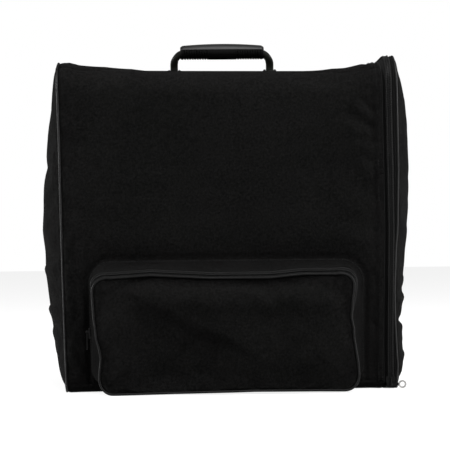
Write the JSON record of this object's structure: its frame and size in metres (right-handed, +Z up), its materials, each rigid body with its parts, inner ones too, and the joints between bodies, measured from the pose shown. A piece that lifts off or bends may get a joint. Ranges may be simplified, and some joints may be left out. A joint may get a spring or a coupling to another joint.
{
  "type": "accordion case",
  "caption": "Soft black padded bag for a piano accordion, with a zipped end door, a zipped front pocket, a carrying handle and back straps.",
  "frame": {"origin": "middle of the flat bottom, on the floor", "axes": "+Z up, +X across the front towards the end with the zipped door, -Y out of the front with the pocket"},
  "size_m": [0.5118, 0.291, 0.4825],
  "materials": {
    "outer_fabric": "matte",
    "foam": "matte",
    "lining": "matte",
    "board": "matte",
    "piping": "satin",
    "zip_tape": "matte",
    "zip_coil": "satin",
    "black_metal": "satin",
    "nickel": "polished",
    "cord_pull": "matte",
    "handle_leather": "satin",
    "grip_rubber": "satin",
    "webbing": "matte",
    "buckle_plastic": "satin"
  },
  "bodies": {
    "case": {"bottom_panel": "outer_fabric", "front_panel": "outer_fabric", "top_panel": "outer_fabric", "back_panel": "outer_fabric", "bottom_foam": "foam", "base_board": "board", "front_foam": "foam", "back_foam": "foam", "top_foam": "foam", "wall_lining": "lining", "left_end_panel": "outer_fabric", "left_end_foam": "foam", "left_end_lining": "lining", "left_piping": "piping", "zip_tape_case": "zip_tape", "zip_coil_case": "zip_coil", "hinge_strip": "outer_fabric", "pocket_gusset": "outer_fabric", "pocket_lower_face": "outer_fabric", "pocket_lower_piping": "piping", "pocket_zip_tape": "zip_tape", "pocket_zip_coil": "zip_coil", "handle_brackets": "black_metal", "handle_pins": "nickel", "handle_rivets": "nickel", "handle_backing_plate": "board", "strap_patch": "webbing", "strap_pad_left": "outer_fabric", "strap_pad_right": "outer_fabric", "strap_adjuster_left": "buckle_plastic", "strap_adjuster_right": "buckle_plastic", "strap_webbing_left": "webbing", "strap_webbing_right": "webbing", "strap_tab_left": "outer_fabric", "strap_tab_right": "outer_fabric"},
    "door": {"door_panel": "outer_fabric", "door_foam": "foam", "door_lining": "lining", "door_piping": "piping", "zip_tape_door": "zip_tape", "zip_coil_door": "zip_coil"},
    "main_slider_body": {"main_slider": "black_metal"},
    "main_pull_body": {"main_pull": "nickel"},
    "pocket_flap": {"flap_panel": "outer_fabric", "flap_piping": "piping", "flap_zip_tape": "zip_tape", "flap_zip_coil": "zip_coil"},
    "pocket_slider_body": {"pocket_slider": "black_metal"},
    "pocket_pull_body": {"pocket_pull": "cord_pull"},
    "handle": {"handle_bow": "handle_leather", "handle_grip": "grip_rubber"}
  },
  "joints": [
    {"name": "door_hinge", "type": "hinge", "parent": "case", "child": "door", "pos_m": [0.2262, 0, 0.0006], "axis": [0, 1, 0], "range_deg": [0, 90]},
    {"name": "main_zip_slide", "type": "slide", "parent": "case", "child": "main_slider_body", "axis": [0, 0, 1], "range_m": [0, 0.37]},
    {"name": "main_pull_swing", "type": "hinge", "parent": "main_slider_body", "child": "main_pull_body", "pos_m": [0.2174, -0.12175, 0.008], "axis": [0, 0, -1], "range_deg": [0, 180]},
    {"name": "pocket_flap_fold", "type": "hinge", "parent": "case", "child": "pocket_flap", "pos_m": [-0.01145, -0.1631, 0.09385], "axis": [1, 0, 0], "range_deg": [0, 110]},
    {"name": "pocket_zip_slide", "type": "slide", "parent": "case", "child": "pocket_slider_body", "axis": [0, 0, 1], "range_m": [0, 0.045]},
    {"name": "pocket_pull_swing", "type": "hinge", "parent": "pocket_slider_body", "child": "pocket_pull_body", "pos_m": [-0.19185, -0.1543, 0.08533], "axis": [0, 1, 0], "range_deg": [0, 150]},
    {"name": "handle_swing", "type": "hinge", "parent": "case", "child": "handle", "pos_m": [-0.0033, 0, 0.4432], "axis": [1, 0, 0], "range_deg": [-65, 65]}
  ]
}
